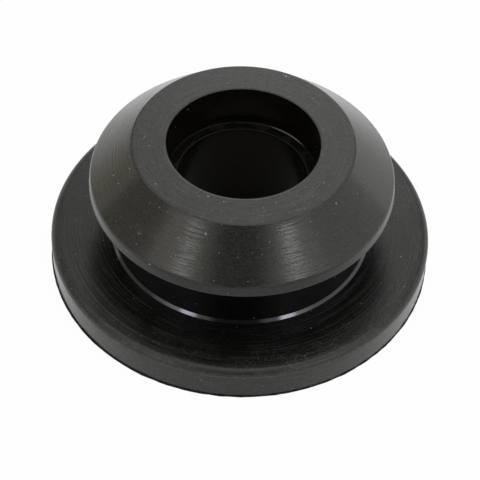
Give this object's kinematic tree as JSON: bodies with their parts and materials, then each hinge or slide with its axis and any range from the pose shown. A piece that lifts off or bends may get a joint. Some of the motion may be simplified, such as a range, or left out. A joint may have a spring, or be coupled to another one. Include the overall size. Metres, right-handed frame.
{
  "type": "rubber grommet",
  "caption": "Moulded rubber grommet: wide round flange, grooved neck for a panel's edge, conical push-in head and a stepped bore right through.",
  "frame": {"origin": "centre of the flange's flat underside, on the axis of the bore", "axes": "+Z along the axis of the bore, from the flange towards the conical head; the part is round, so X and Y are free"},
  "size_m": [0.0384, 0.0384, 0.0149],
  "materials": {
    "rubber": "satin black, as moulded"
  },
  "bodies": {
    "root": {"grommet": "rubber"}
  },
  "joints": []
}
